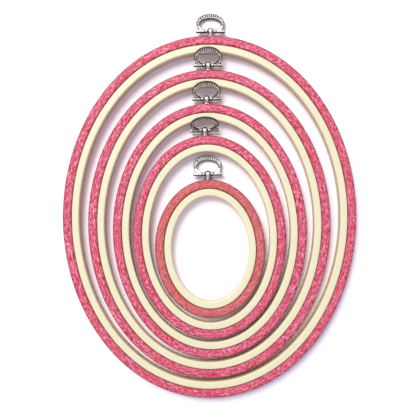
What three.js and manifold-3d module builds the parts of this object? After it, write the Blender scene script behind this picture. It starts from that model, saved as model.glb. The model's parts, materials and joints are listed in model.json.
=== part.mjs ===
// A nesting set of five oval embroidery hoops, lying flat on a table.
// Each hoop is a rigid inner ring, a softer outer band pressed over it, and a metal hanger on the band.
// Millimetres. X runs across the ovals, Y along them towards the hangers, Z up from the table.

import * as THREE from "three";
import { mergeVertices } from "three/addons/utils/BufferGeometryUtils.js";
import Module from "manifold-3d";

const wasm = await Module();
wasm.setup();

// The largest hoop, measured over its outer band
const LARGEST_WIDTH = 220.5;
const LARGEST_LENGTH = 272.0;
const LARGEST_TURN = -0.25;

// The clearance between pieces that seat on each other, and round a pin that turns in its hole
const SEAT_GAP = 0.3;
const PIN_GAP = 0.3;

// How each smaller hoop lies in the opening of the hoop outside it. Room is left at its two sides, at
// its head for the hanger, and at its foot. The shift is to the right of the outer hoop's centre. The
// bail's gap is what it keeps from the edge that it leans over.
const HOOP2_SIDE_ROOM = 7.45;
const HOOP2_HEAD_ROOM = 13.7;
const HOOP2_FOOT_ROOM = 3.0;
const HOOP2_SHIFT = -0.2;
const HOOP2_BAIL_GAP = 1.45;

const HOOP3_SIDE_ROOM = 6.35;
const HOOP3_HEAD_ROOM = 13.7;
const HOOP3_FOOT_ROOM = 3.1;
const HOOP3_SHIFT = 0.4;
const HOOP3_BAIL_GAP = 1.35;

const HOOP4_SIDE_ROOM = 3.5;
const HOOP4_HEAD_ROOM = 12.0;
const HOOP4_FOOT_ROOM = 2.9;
const HOOP4_SHIFT = -0.3;
const HOOP4_BAIL_GAP = 1.75;

const HOOP5_SIDE_ROOM = 4.4;
const HOOP5_HEAD_ROOM = 21.45;
const HOOP5_FOOT_ROOM = 3.95;
const HOOP5_SHIFT = 0.5;

// The smaller hoops from large to small. The turn is in degrees from the Y axis, anticlockwise.
const NESTED_HOOPS = [
  {
    sideRoom: HOOP2_SIDE_ROOM,
    headRoom: HOOP2_HEAD_ROOM,
    footRoom: HOOP2_FOOT_ROOM,
    shift: HOOP2_SHIFT,
    bailGap: HOOP2_BAIL_GAP,
    turn: 0.45,
  },
  {
    sideRoom: HOOP3_SIDE_ROOM,
    headRoom: HOOP3_HEAD_ROOM,
    footRoom: HOOP3_FOOT_ROOM,
    shift: HOOP3_SHIFT,
    bailGap: HOOP3_BAIL_GAP,
    turn: 1.4,
  },
  {
    sideRoom: HOOP4_SIDE_ROOM,
    headRoom: HOOP4_HEAD_ROOM,
    footRoom: HOOP4_FOOT_ROOM,
    shift: HOOP4_SHIFT,
    bailGap: HOOP4_BAIL_GAP,
    turn: 2.5,
  },
  {
    sideRoom: HOOP5_SIDE_ROOM,
    headRoom: HOOP5_HEAD_ROOM,
    footRoom: HOOP5_FOOT_ROOM,
    shift: HOOP5_SHIFT,
    bailGap: SEAT_GAP,
    turn: 1.8,
  },
];

// The inner ring: a plain wall with a lip along the back of its foot, which carries the band
const RING_WIDTH = 4.8;
const RING_HEIGHT = 10;
const RING_EDGE = 0.5;
const LIP_REACH = 2.6;
const LIP_HEIGHT = 1.5;

// The outer band: it stands a little over the ring and has rounded upper edges
const BAND_WIDTH = 6.7;
const BAND_RISE = 0.3;
const BAND_EDGE_RADIUS = 1.6;
const BAND_FOOT_EDGE = 0.4;

// The post that carries the hanger, riveted through the band at mid height
const POST_REACH = 4.6;
const FLANGE_RADIUS = 3.1;
const FLANGE_THICKNESS = 0.6;
const STEM_RADIUS = 1.8;
const STEM_FLARE_LENGTH = 2.4;
const EYE_RADIUS = 2.5;
const EYE_WIDTH = 3.9;
const EYE_END_RADIUS = 1.9;
const EYE_CROWN = 0.7;
const SHANK_RADIUS = 1.2;
const RIVET_HEAD_RADIUS = 1.9;
const RIVET_HEAD_TOP_RADIUS = 1.3;
const RIVET_HEAD_THICKNESS = 0.6;
const WASHER_RADIUS = 2.4;
const WASHER_THICKNESS = 0.7;

// The bail: a flat arch whose feet stand on a bar, and the bar's thin neck turns in the post's eye
const BAIL_REACH = 15.2;
const BAIL_HALF_WIDTH = 10.8;
const BAIL_THICKNESS = 1.8;
const BAIL_SHOULDER = 6.2;
const BAIL_TOP_WIDTH = 4.3;
const BAIL_SIDE_WIDTH = 2.75;
const BAIL_FOOT_OUTER = 9.1;
const BAIL_FOOT_INNER = 4.5;
const BAIL_CORNER_HEIGHT = 4.0;
const BAIL_FOOT_HEIGHT = 1.2;
const RIM_WIDTH = 0.8;
const CHANNEL_DEPTH = 0.35;
const CHANNEL_END = 24;
const BAR_RADIUS = 1.3;
const BAR_HALF_LENGTH = 10.9;
const BAR_EDGE = 0.3;
const BEAD_RADIUS = 1.6;
const BEAD_LENGTH = 2.1;
const NECK_RADIUS = 0.95;

// How round curves are cut into facets
const OVAL_CHORD_HEIGHT = 0.2;
const ROUND_SIDES = 12;
const ARC_STEPS = 10;
const EDGE_STEPS = 2;

// How far a cutter runs past the piece that it cuts, and how many places on each facet are tried
// when a bail is laid over an edge
const CUT_MARGIN = 1;
const PLACES_PER_FACET = 8;

// Sizes that follow from the ones above
const BAND_HEIGHT = RING_HEIGHT + BAND_RISE;
const WALL = BAND_WIDTH + SEAT_GAP + RING_WIDTH;
const POST_HEIGHT = BAND_HEIGHT / 2;
const EYE_BORE_RADIUS = NECK_RADIUS + PIN_GAP;
const SHANK_HOLE_RADIUS = SHANK_RADIUS + SEAT_GAP;
const RECESS_RADIUS = WASHER_RADIUS + SEAT_GAP;
const RECESS_DEPTH = WASHER_THICKNESS + RIVET_HEAD_THICKNESS + 3 * SEAT_GAP;

// The colours and finishes
const pinkBand = new THREE.MeshStandardMaterial({ color: 0xde6e84, roughness: 0.5, metalness: 0 });
const coralBand = new THREE.MeshStandardMaterial({ color: 0xdc797e, roughness: 0.5, metalness: 0 });
const creamRing = new THREE.MeshStandardMaterial({ color: 0xfcf5d8, roughness: 0.35, metalness: 0 });
const paleMetal = new THREE.MeshStandardMaterial({ color: 0xc9bfb2, roughness: 0.3, metalness: 1 });

// Turns a closed geometry into a solid that can be cut and joined.
function toSolid(geometry) {
  const plain = geometry.clone();
  plain.deleteAttribute("normal");
  plain.deleteAttribute("uv");
  const merged = mergeVertices(plain, 1e-4);
  const triVerts = new Uint32Array(merged.index.array);
  const vertProperties = new Float32Array(merged.attributes.position.array);
  return new wasm.Manifold(new wasm.Mesh({ numProp: 3, vertProperties, triVerts }));
}

// Turns a solid back into a geometry for a mesh.
function toGeometry(solid) {
  const { vertProperties, triVerts } = solid.getMesh();
  const geometry = new THREE.BufferGeometry();
  geometry.setAttribute("position", new THREE.BufferAttribute(vertProperties, 3));
  geometry.setIndex(new THREE.BufferAttribute(triVerts, 1));
  geometry.computeVertexNormals();
  return geometry;
}

// Points on an arc in a flat section, from one angle to another in degrees, both ends included.
function arcPoints(centre, radiusX, radiusY, from, to, steps) {
  return Array.from({ length: steps + 1 }, (_, i) => {
    const angle = THREE.MathUtils.degToRad(from + ((to - from) * i) / steps);
    return new THREE.Vector2(
      centre.x + radiusX * Math.cos(angle),
      centre.y + radiusY * Math.sin(angle),
    );
  });
}

// The outside oval of one hoop, cut into facets so that a flat one lies across the hanger.
class Oval {
  constructor(width, length) {
    this.halfWidth = width / 2;
    this.halfLength = length / 2;
    const halfStep = Math.acos(1 - OVAL_CHORD_HEIGHT / this.halfLength);
    this.sides = 2 * Math.round(Math.PI / halfStep / 2);
  }

  // The corner number i of the oval that lies the given distance inside the outside one.
  corner(i, inset) {
    const angle = Math.PI / 2 + ((i + 0.5) * 2 * Math.PI) / this.sides;
    const outward = new THREE.Vector2(
      Math.cos(angle) / this.halfWidth,
      Math.sin(angle) / this.halfLength,
    ).normalize();
    return new THREE.Vector2(
      this.halfWidth * Math.cos(angle),
      this.halfLength * Math.sin(angle),
    ).addScaledVector(outward, -inset);
  }

  // The flat facet that faces the hanger lies at this Y.
  get hangerFace() {
    return this.corner(0, 0).y;
  }

  // Carries a closed section round the oval. The section is (inset, height), listed anticlockwise.
  sweep(section) {
    const count = section.length;
    const positions = [];
    const triangles = [];
    for (let i = 0; i < this.sides; i += 1) {
      const next = (i + 1) % this.sides;
      section.forEach((point, j) => {
        const corner = this.corner(i, point.x);
        positions.push(corner.x, corner.y, point.y);
        const after = (j + 1) % count;
        const a = i * count + j;
        const b = next * count + j;
        const c = next * count + after;
        const d = i * count + after;
        triangles.push(a, c, b, a, d, c);
      });
    }
    const geometry = new THREE.BufferGeometry();
    geometry.setAttribute("position", new THREE.Float32BufferAttribute(positions, 3));
    geometry.setIndex(triangles);
    geometry.computeVertexNormals();
    return geometry;
  }
}

// The ring's section: the wall has broken corners, and the lip runs outwards along its foot.
function ringSection() {
  const back = BAND_WIDTH + SEAT_GAP;
  return [
    new THREE.Vector2(back - LIP_REACH, 0),
    new THREE.Vector2(WALL - RING_EDGE, 0),
    new THREE.Vector2(WALL, RING_EDGE),
    new THREE.Vector2(WALL, RING_HEIGHT - RING_EDGE),
    new THREE.Vector2(WALL - RING_EDGE, RING_HEIGHT),
    new THREE.Vector2(back, RING_HEIGHT),
    new THREE.Vector2(back, LIP_HEIGHT),
    new THREE.Vector2(back - LIP_REACH, LIP_HEIGHT),
  ];
}

// The band's section: rounded above, stepped below where it sits over the ring's lip.
function bandSection() {
  const stepX = BAND_WIDTH - LIP_REACH;
  const stepHeight = LIP_HEIGHT + SEAT_GAP;
  const radius = BAND_EDGE_RADIUS;
  const archHeight = BAND_HEIGHT - radius;
  return [
    new THREE.Vector2(BAND_FOOT_EDGE, 0),
    new THREE.Vector2(stepX, 0),
    new THREE.Vector2(stepX, stepHeight),
    new THREE.Vector2(BAND_WIDTH, stepHeight),
    ...arcPoints({ x: BAND_WIDTH - radius, y: archHeight }, radius, radius, 0, 90, EDGE_STEPS),
    ...arcPoints({ x: radius, y: archHeight }, radius, radius, 90, 180, EDGE_STEPS),
    new THREE.Vector2(0, BAND_FOOT_EDGE),
  ];
}

// A round bar along X or Y from a list of (radius, place along it) that starts and ends on the axis.
function turnedPiece(profile, along) {
  const points = profile.map(([radius, place]) => new THREE.Vector2(radius, place));
  const geometry = new THREE.LatheGeometry(points, ROUND_SIDES);
  if (along === "x") {
    geometry.rotateZ(-Math.PI / 2);
  }
  return geometry;
}

// A plain round plug or cutter between two places on its axis.
function roundPlug(radius, from, to, along) {
  return turnedPiece(
    [
      [0, from],
      [radius, from],
      [radius, to],
      [0, to],
    ],
    along,
  );
}

// The flat facets of a round hole lie nearer its axis than its corners by this factor.
const FACET_FACTOR = 1 / Math.cos(Math.PI / ROUND_SIDES);

// The outer band, with the rivet's hole and the recess for its washer in the hanger facet.
function bandGeometry(oval) {
  const face = oval.hangerFace;
  const inside = face - BAND_WIDTH;
  const start = inside - CUT_MARGIN;
  const hole = roundPlug(SHANK_HOLE_RADIUS * FACET_FACTOR, start, face + CUT_MARGIN, "y");
  const recess = roundPlug(RECESS_RADIUS * FACET_FACTOR, start, inside + RECESS_DEPTH, "y");
  hole.translate(0, 0, POST_HEIGHT);
  recess.translate(0, 0, POST_HEIGHT);
  const band = toSolid(oval.sweep(bandSection()));
  return toGeometry(band.subtract(toSolid(hole)).subtract(toSolid(recess)));
}

// Places along the post, measured outwards from the bar's axis in the eye
const BAND_FACE = -POST_REACH;
const BAND_BACK = BAND_FACE - BAND_WIDTH;
const WASHER_SEAT = BAND_BACK + RECESS_DEPTH - SEAT_GAP;
const WASHER_BACK = WASHER_SEAT - WASHER_THICKNESS;
const RIVET_SEAT = WASHER_BACK - SEAT_GAP;

// The post: rivet head, shank, flange and flared stem in one turned piece, with the crowned eye
// across its end.
function postGeometry() {
  const flangeSeat = BAND_FACE + SEAT_GAP;
  const flangeTop = flangeSeat + FLANGE_THICKNESS;
  const headEnd = RIVET_SEAT - RIVET_HEAD_THICKNESS;
  const stem = turnedPiece(
    [
      [0, headEnd],
      [RIVET_HEAD_TOP_RADIUS, headEnd],
      [RIVET_HEAD_RADIUS, RIVET_SEAT],
      [SHANK_RADIUS, RIVET_SEAT],
      [SHANK_RADIUS, flangeSeat],
      [FLANGE_RADIUS, flangeSeat],
      [FLANGE_RADIUS, flangeTop],
      [STEM_RADIUS, flangeTop + STEM_FLARE_LENGTH],
      [STEM_RADIUS, 0],
      [0, 0],
    ],
    "y",
  );
  const half = EYE_WIDTH / 2;
  const barrel = turnedPiece(
    [
      [0, -half],
      [EYE_END_RADIUS, -half],
      [EYE_RADIUS, EYE_CROWN - half],
      [EYE_RADIUS, half - EYE_CROWN],
      [EYE_END_RADIUS, half],
      [0, half],
    ],
    "x",
  );
  const past = half + CUT_MARGIN;
  const bore = roundPlug(EYE_BORE_RADIUS * FACET_FACTOR, -past, past, "x");
  return toGeometry(toSolid(stem).add(toSolid(barrel)).subtract(toSolid(bore)));
}

// The washer under the rivet's head, in the recess of the band.
function washerGeometry() {
  const disc = roundPlug(WASHER_RADIUS, WASHER_BACK, WASHER_SEAT, "y");
  const start = WASHER_BACK - CUT_MARGIN;
  const end = WASHER_SEAT + CUT_MARGIN;
  const hole = roundPlug(SHANK_HOLE_RADIUS * FACET_FACTOR, start, end, "y");
  return toGeometry(toSolid(disc).subtract(toSolid(hole)));
}

// The arch's outline: rounded outside and inside, with diagonal corners above feet on the bar.
function archShape() {
  const shoulder = { x: 0, y: BAIL_SHOULDER };
  const innerHalfWidth = BAIL_HALF_WIDTH - BAIL_SIDE_WIDTH;
  const rise = BAIL_REACH - BAIL_SHOULDER;
  const outside = arcPoints(shoulder, BAIL_HALF_WIDTH, rise, 0, 180, ARC_STEPS);
  const inside = arcPoints(shoulder, innerHalfWidth, rise - BAIL_TOP_WIDTH, 180, 0, ARC_STEPS);
  return new THREE.Shape([
    new THREE.Vector2(BAIL_FOOT_OUTER, 0),
    ...outside,
    new THREE.Vector2(-BAIL_FOOT_OUTER, 0),
    new THREE.Vector2(-BAIL_FOOT_INNER, 0),
    new THREE.Vector2(-BAIL_FOOT_INNER, BAIL_FOOT_HEIGHT),
    new THREE.Vector2(-innerHalfWidth, BAIL_CORNER_HEIGHT),
    ...inside,
    new THREE.Vector2(innerHalfWidth, BAIL_CORNER_HEIGHT),
    new THREE.Vector2(BAIL_FOOT_INNER, BAIL_FOOT_HEIGHT),
    new THREE.Vector2(BAIL_FOOT_INNER, 0),
  ]);
}

// The sunk channel between the arch's raised rims.
function channelShape() {
  const shoulder = { x: 0, y: BAIL_SHOULDER };
  const rise = BAIL_REACH - BAIL_SHOULDER;
  const outerX = BAIL_HALF_WIDTH - RIM_WIDTH;
  const innerX = BAIL_HALF_WIDTH - BAIL_SIDE_WIDTH + RIM_WIDTH;
  const outerY = rise - RIM_WIDTH;
  const innerY = rise - BAIL_TOP_WIDTH + RIM_WIDTH;
  const end = 180 - CHANNEL_END;
  return new THREE.Shape([
    ...arcPoints(shoulder, outerX, outerY, CHANNEL_END, end, ARC_STEPS),
    ...arcPoints(shoulder, innerX, innerY, end, CHANNEL_END, ARC_STEPS),
  ]);
}

// The bar along X: thick under the feet, a bead each side of the eye, a thin neck through it.
function barGeometry() {
  const neckEnd = EYE_WIDTH / 2 + PIN_GAP;
  const beadEnd = neckEnd + BEAD_LENGTH;
  const rightHalf = [
    [NECK_RADIUS, neckEnd],
    [BEAD_RADIUS, neckEnd + BAR_EDGE],
    [BEAD_RADIUS, beadEnd - BAR_EDGE],
    [BAR_RADIUS, beadEnd],
    [BAR_RADIUS, BAR_HALF_LENGTH - BAR_EDGE],
    [BAR_RADIUS - BAR_EDGE, BAR_HALF_LENGTH],
    [0, BAR_HALF_LENGTH],
  ];
  const leftHalf = rightHalf.map(([radius, place]) => [radius, -place]).reverse();
  return turnedPiece([...leftHalf, ...rightHalf], "x");
}

// The bail about the bar's axis, reaching out along Y.
function bailGeometry() {
  const arch = new THREE.ExtrudeGeometry(archShape(), {
    depth: BAIL_THICKNESS,
    bevelEnabled: false,
  });
  arch.translate(0, 0, -BAIL_THICKNESS / 2);
  const channel = new THREE.ExtrudeGeometry(channelShape(), {
    depth: BAIL_THICKNESS,
    bevelEnabled: false,
  });
  const sunkFace = BAIL_THICKNESS / 2 - CHANNEL_DEPTH;
  const upper = channel.clone().translate(0, 0, sunkFace);
  const lower = channel.clone().translate(0, 0, -sunkFace - BAIL_THICKNESS);
  const carved = toSolid(arch).subtract(toSolid(upper)).subtract(toSolid(lower));
  return toGeometry(carved.add(toSolid(barGeometry())));
}

// Each hoop's place in the set: its oval, the centre, the turn and the gap under its bail.
function layOutHoops() {
  const laid = [
    {
      oval: new Oval(LARGEST_WIDTH, LARGEST_LENGTH),
      centre: new THREE.Vector2(0, 0),
      turn: THREE.MathUtils.degToRad(LARGEST_TURN),
      bailGap: SEAT_GAP,
    },
  ];
  for (const room of NESTED_HOOPS) {
    const outer = laid[laid.length - 1];
    const width = 2 * (outer.oval.halfWidth - WALL - room.sideRoom);
    const length = 2 * (outer.oval.halfLength - WALL) - room.headRoom - room.footRoom;
    const drop = (room.headRoom - room.footRoom) / 2;
    laid.push({
      oval: new Oval(width, length),
      centre: outer.centre.clone().add(new THREE.Vector2(room.shift, -drop)),
      turn: THREE.MathUtils.degToRad(room.turn),
      bailGap: room.bailGap,
    });
  }
  return laid;
}

// The edge of the outer hoop's opening that faces a nested hanger, seen from the hanger's bar:
// points (across, outwards) along the facets within the bail's width.
function edgeBeforeBail(hoop, outer) {
  const found = [];
  const barPlace = hoop.oval.hangerFace + POST_REACH;
  const origin = new THREE.Vector2(0, 0);
  for (let i = 0; i < outer.oval.sides; i += 1) {
    const start = outer.oval.corner(i, WALL);
    const end = outer.oval.corner(i + 1, WALL);
    for (let j = 0; j < PLACES_PER_FACET; j += 1) {
      const point = start.clone().lerp(end, j / PLACES_PER_FACET);
      point.rotateAround(origin, outer.turn).add(outer.centre).sub(hoop.centre);
      point.rotateAround(origin, -hoop.turn);
      point.y -= barPlace;
      if (point.y > 0 && Math.abs(point.x) <= BAIL_HALF_WIDTH) {
        found.push(point);
      }
    }
  }
  return found;
}

// How far the arch reaches out from the bar at a place across it.
function reachAt(across) {
  const share = Math.min(1, Math.abs(across) / BAIL_HALF_WIDTH);
  return BAIL_SHOULDER + (BAIL_REACH - BAIL_SHOULDER) * Math.sqrt(1 - share * share);
}

// The angle above level, in radians, at which a bail comes to rest: on the table where the way is
// free, on the top edge of the next ring where it reaches over it, or against that ring's wall.
function restAngle(hoop, outer) {
  const underside = BAIL_THICKNESS / 2 + hoop.bailGap;
  const onTable = -Math.asin((POST_HEIGHT - underside) / BAIL_REACH);
  if (!outer) {
    return onTable;
  }
  const rise = RING_HEIGHT - POST_HEIGHT;
  const angles = edgeBeforeBail(hoop, outer).map((point) => {
    const reach = reachAt(point.x);
    const away = point.y;
    const slant = Math.hypot(away, rise);
    if (reach + hoop.bailGap < away) {
      return onTable;
    }
    if (reach < slant) {
      return Math.acos((away - hoop.bailGap) / reach);
    }
    return Math.atan2(rise, away) + Math.asin(underside / slant);
  });
  return Math.max(...angles);
}

// Makes a named mesh.
function piece(name, geometry, material) {
  const mesh = new THREE.Mesh(geometry, material);
  mesh.name = name;
  return mesh;
}

// Builds one hoop with its hanger, turned and placed in the set.
function buildHoop(number, hoop, outer, bandMaterial) {
  const label = `hoop${number}`;
  const group = new THREE.Group();
  group.position.set(hoop.centre.x, hoop.centre.y, 0);
  group.rotation.z = hoop.turn;
  group.add(piece(`${label}_outer_band`, bandGeometry(hoop.oval), bandMaterial));
  group.add(piece(`${label}_inner_ring`, hoop.oval.sweep(ringSection()), creamRing));

  const hanger = new THREE.Group();
  hanger.position.set(0, hoop.oval.hangerFace + POST_REACH, POST_HEIGHT);
  hanger.add(piece(`${label}_hanger_post`, postGeometry(), paleMetal));
  hanger.add(piece(`${label}_post_washer`, washerGeometry(), paleMetal));
  const bail = piece(`${label}_hanger_bail`, bailGeometry(), paleMetal);
  bail.rotation.x = restAngle(hoop, outer);
  hanger.add(bail);
  group.add(hanger);
  return group;
}

// The whole set, with its origin on the table under the middle of its outline.
function buildSet() {
  const set = new THREE.Group();
  const hoops = layOutHoops();
  hoops.forEach((hoop, i) => {
    const smallest = i === hoops.length - 1;
    set.add(buildHoop(i + 1, hoop, hoops[i - 1], smallest ? coralBand : pinkBand));
  });
  const bounds = new THREE.Box3().setFromObject(set, true);
  const middle = bounds.getCenter(new THREE.Vector3());
  set.position.set(-middle.x, -middle.y, -bounds.min.z);
  return set;
}

export default buildSet();
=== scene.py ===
# %% [markdown]
# # A nesting set of oval embroidery hoops
#
# Five oval hoops lie one inside another. Each hoop is a stiff cream ring, a soft pink band that is
# pulled over it to grip the cloth, and a metal hanger on the end of the band. The construction is
# already fixed: this lesson loads it as a frame and dresses it, piece by piece.

# %% Load the fixed frame
import json

import bpy
import mathutils
import numpy as np
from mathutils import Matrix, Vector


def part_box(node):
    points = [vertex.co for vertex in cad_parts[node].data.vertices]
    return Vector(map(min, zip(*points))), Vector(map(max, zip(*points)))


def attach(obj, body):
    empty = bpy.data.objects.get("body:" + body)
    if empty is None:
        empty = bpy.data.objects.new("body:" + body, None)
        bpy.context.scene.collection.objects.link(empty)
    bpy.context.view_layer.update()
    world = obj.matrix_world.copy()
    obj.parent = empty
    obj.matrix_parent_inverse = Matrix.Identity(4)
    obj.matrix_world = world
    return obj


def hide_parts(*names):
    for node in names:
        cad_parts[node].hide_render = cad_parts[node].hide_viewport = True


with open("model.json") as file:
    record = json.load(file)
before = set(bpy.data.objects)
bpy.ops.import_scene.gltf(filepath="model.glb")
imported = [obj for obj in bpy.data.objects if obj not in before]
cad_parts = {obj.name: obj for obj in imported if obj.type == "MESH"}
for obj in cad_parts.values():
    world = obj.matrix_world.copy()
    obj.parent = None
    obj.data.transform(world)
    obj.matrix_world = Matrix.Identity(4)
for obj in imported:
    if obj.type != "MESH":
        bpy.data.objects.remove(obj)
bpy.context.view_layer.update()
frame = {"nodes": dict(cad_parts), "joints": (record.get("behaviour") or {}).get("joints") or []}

# %% [markdown]
# ## Sizes
#
# The frame says where each hoop lies and how large it is. The sections of the mouldings and the
# shape of the hanger are the same on all five, so they are written once, in metres, each where it
# is first needed. The wall of a hoop comes first: band outside, ring inside, a thin gap between.

# %% Sizes that the five hoops share
MM = 0.001
HAIR = 0.01 * MM        # nearer than this counts as the same place
HOOPS = (1, 2, 3, 4, 5)
SMALLEST = 5

BAND_WIDTH = 6.7 * MM
BAND_HEIGHT = 10.3 * MM
BAND_FOOT_EDGE = 0.4 * MM
RING_WIDTH = 4.8 * MM
RING_HEIGHT = 10.0 * MM
SEAT_GAP = 0.3 * MM
LIP_REACH = 2.6 * MM
LIP_HEIGHT = 1.5 * MM
RING_BACK = BAND_WIDTH + SEAT_GAP
WALL = RING_BACK + RING_WIDTH
print("wall", round(WALL * 1000, 2), "mm thick")

# %% [markdown]
# ## Where each hoop lies
#
# An oval is a closed curve with point symmetry, so the middle of a ring's box is the middle of its
# oval. The hinge of the hanger runs across the end of the band, so its axis gives the turn. The
# size comes from the frame's own corners: along the foot of the band they all lie on the outside
# oval, and the two half axes are the least-squares answer of x²/A² + y²/B² = 1.

# %% Read places and sizes from the frame
def node_points(node):
    """All corners of a frame node, as an array of rows x, y, z."""
    mesh = frame["nodes"][node].data
    flat = np.empty(3 * len(mesh.vertices), np.float32)
    mesh.vertices.foreach_get("co", flat)
    return flat.reshape(-1, 3).astype(float)


def turn_points(points, angle):
    """Turns the x and y of points by an angle: x cos - y sin, x sin + y cos."""
    turned = np.array(points, float)
    x, y = turned[..., 0].copy(), turned[..., 1].copy()
    turned[..., 0] = x * np.cos(angle) - y * np.sin(angle)
    turned[..., 1] = x * np.sin(angle) + y * np.cos(angle)
    return turned


def read_hoop(number):
    """The middle, turn and half axes of one hoop, its hinge, and the angle of its bail at rest."""
    low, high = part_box(f"hoop{number}_inner_ring")
    middle = np.array([(low[0] + high[0]) / 2, (low[1] + high[1]) / 2, 0.0])
    swing = next(j for j in frame["joints"] if j["name"] == f"hoop{number}_bail_swing")
    hinge = np.array(swing["pos_m"], float)
    turn = np.arctan2(swing["axis"][1], swing["axis"][0])

    corners = turn_points(node_points(f"hoop{number}_outer_band") - middle, -turn)
    on_foot_edge = np.abs(corners[:, 2] - BAND_FOOT_EDGE) < HAIR
    squares = corners[on_foot_edge, :2] ** 2
    inverse_squares = np.linalg.lstsq(squares, np.ones(len(squares)), rcond=None)[0]
    half_width, half_length = 1 / np.sqrt(inverse_squares)

    bail = turn_points(node_points(f"hoop{number}_hanger_bail") - hinge, -turn)
    away = np.hypot(bail[:, 1], bail[:, 2])
    tip = bail[away > away.max() - HAIR].mean(0)
    return {"middle": middle, "turn": turn, "hinge": hinge, "rest": np.arctan2(tip[2], tip[1]),
            "half_width": half_width, "half_length": half_length}


hoops = {number: read_hoop(number) for number in HOOPS}
for number, hoop in hoops.items():
    print("hoop", number, "outside", round(2000 * hoop["half_width"], 1), "by",
          round(2000 * hoop["half_length"], 1), "mm, bail at", round(np.degrees(hoop["rest"]), 1))

# %% [markdown]
# ## From arrays to meshes
#
# Blender can build shapes with modifiers, by sculpting, or from plain lists of points and faces.
# Lists suit mouldings and castings best, because every size stays exact. Each surface here is a
# grid of points: one direction runs along the piece, the other round its section. A grid that
# closes on itself needs no end faces, and an open one gets a flat cap at each end.

# %% The faces of a grid
def grid_faces(rows, columns, first, close_rows=False):
    """The four-sided faces of a grid whose columns close on themselves, numbered from first.

    Face (i, j) joins corner (i, j), (i, j+1), (i+1, j+1) and (i+1, j)."""
    last_row = rows if close_rows else rows - 1
    i, j = np.meshgrid(np.arange(last_row), np.arange(columns), indexing="ij")
    below, right = (i + 1) % rows, (j + 1) % columns
    corners = [i * columns + j, i * columns + right, below * columns + right, below * columns + j]
    return first + np.stack(corners, -1).reshape(-1, 4)


print("3 rings of 8 points have", len(grid_faces(3, 8, 0)), "faces, and 2 caps")

# %% A piece made of several grids
def build_piece(name, grids, body, node, material):
    """Makes one object of several grids, lets it ride on its body, and hides the frame node.

    A grid is a dictionary with points (rows, columns, 3). It may hold close_rows, uv (rows,
    columns, 2) and any number of surface values (rows, columns) in values."""
    points, faces, uvs, values = [], [], [], {}
    first = 0
    names = {key for grid in grids for key in grid.get("values", {})}
    for grid in grids:
        rows, columns = grid["points"].shape[:2]
        closed = grid.get("close_rows", False)
        points.append(grid["points"].reshape(-1, 3))
        faces.extend(grid_faces(rows, columns, first, closed).tolist())
        if not closed:
            faces.append(list(range(first + columns - 1, first - 1, -1)))
            faces.append(list(range(first + (rows - 1) * columns, first + rows * columns)))
        uvs.append(grid.get("uv", np.zeros((rows, columns, 2))).reshape(-1, 2))
        for key in names:
            given = grid.get("values", {}).get(key, np.zeros((rows, columns)))
            values.setdefault(key, []).append(given.reshape(-1))
        first += rows * columns
    mesh = bpy.data.meshes.new(name)
    mesh.from_pydata(np.concatenate(points).tolist(), [], faces)
    mesh.polygons.foreach_set("use_smooth", np.ones(len(mesh.polygons), bool))

    corner_point = np.empty(len(mesh.loops), np.int32)
    mesh.loops.foreach_get("vertex_index", corner_point)
    uv_map = mesh.uv_layers.new(name="surface_uv")
    uv_map.uv.foreach_set("vector", np.concatenate(uvs)[corner_point].astype(np.float32).ravel())
    for key, parts in values.items():
        attribute = mesh.attributes.new(key, "FLOAT", "POINT")
        attribute.data.foreach_set("value", np.concatenate(parts).astype(np.float32))
    mesh.materials.append(material)
    mesh.update()

    piece = bpy.data.objects.new(name, mesh)
    bpy.context.scene.collection.objects.link(piece)
    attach(piece, body)
    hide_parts(node)
    return piece


def triangle_count(piece):
    """Triangles in a piece: every face of k corners is k - 2 of them."""
    return sum(len(face.vertices) - 2 for face in piece.data.polygons)


# %% [markdown]
# ## Materials
#
# A material is a tree of nodes that ends in one shader. A few small helpers keep the trees
# readable: one adds a node and fills its sockets, and the others stand for the steps of a finish.

# %% Helpers for node trees
def fill_sockets(tree, node, sockets):
    """Gives each named or numbered socket its value, or links it to another node's output."""
    for key, value in sockets.items():
        if isinstance(value, bpy.types.NodeSocket):
            tree.links.new(value, node.inputs[key])
        else:
            node.inputs[key].default_value = value


def add_node(tree, kind, sockets=None, **settings):
    """Adds a node of a kind. settings are the node's own options, sockets are its inputs."""
    node = tree.nodes.new(kind)
    for key, value in settings.items():
        setattr(node, key, value)
    fill_sockets(tree, node, sockets or {})
    return node


def start_material(name):
    """A new material with its node tree and the Principled shader that it starts with."""
    material = bpy.data.materials.new(name)
    material.use_nodes = True
    tree = material.node_tree
    return material, tree, tree.nodes["Principled BSDF"]


def srgb(red, green, blue):
    """Linear light of a colour of 0 to 255: ((c + 0.055) / 1.055)^2.4, or c / 12.92 near black."""
    shares = np.array([red, green, blue]) / 255
    linear = np.where(shares > 0.04045, ((shares + 0.055) / 1.055) ** 2.4, shares / 12.92)
    return tuple(float(v) for v in linear)


print("middle grey of 128 is", round(srgb(128, 128, 128)[0], 3), "in linear light")

# %% Helpers for the steps of a finish
def mesh_value(tree, name):
    """The value that each point of the mesh carries under a name."""
    return add_node(tree, "ShaderNodeAttribute", attribute_name=name).outputs["Fac"]


def object_noise(tree, scale, detail, roughness=0.5):
    """Noise from 0 to 1 at the object's own coordinates."""
    place = add_node(tree, "ShaderNodeTexCoord").outputs["Object"]
    sockets = {"Vector": place, "Scale": scale, "Detail": detail, "Roughness": roughness}
    return add_node(tree, "ShaderNodeTexNoise", sockets).outputs["Fac"]


def colour_ramp(tree, share, stops):
    """The colour at a share. stops are (place, (r, g, b)) from 0 to 1, in linear light."""
    ramp = add_node(tree, "ShaderNodeValToRGB", {"Fac": share})
    elements = ramp.color_ramp.elements
    while len(elements) < len(stops):
        elements.new(0.5)
    for element, (place, colour) in zip(elements, stops):
        element.position = place
        element.color = (*colour, 1)
    return ramp.outputs["Color"]


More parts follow.
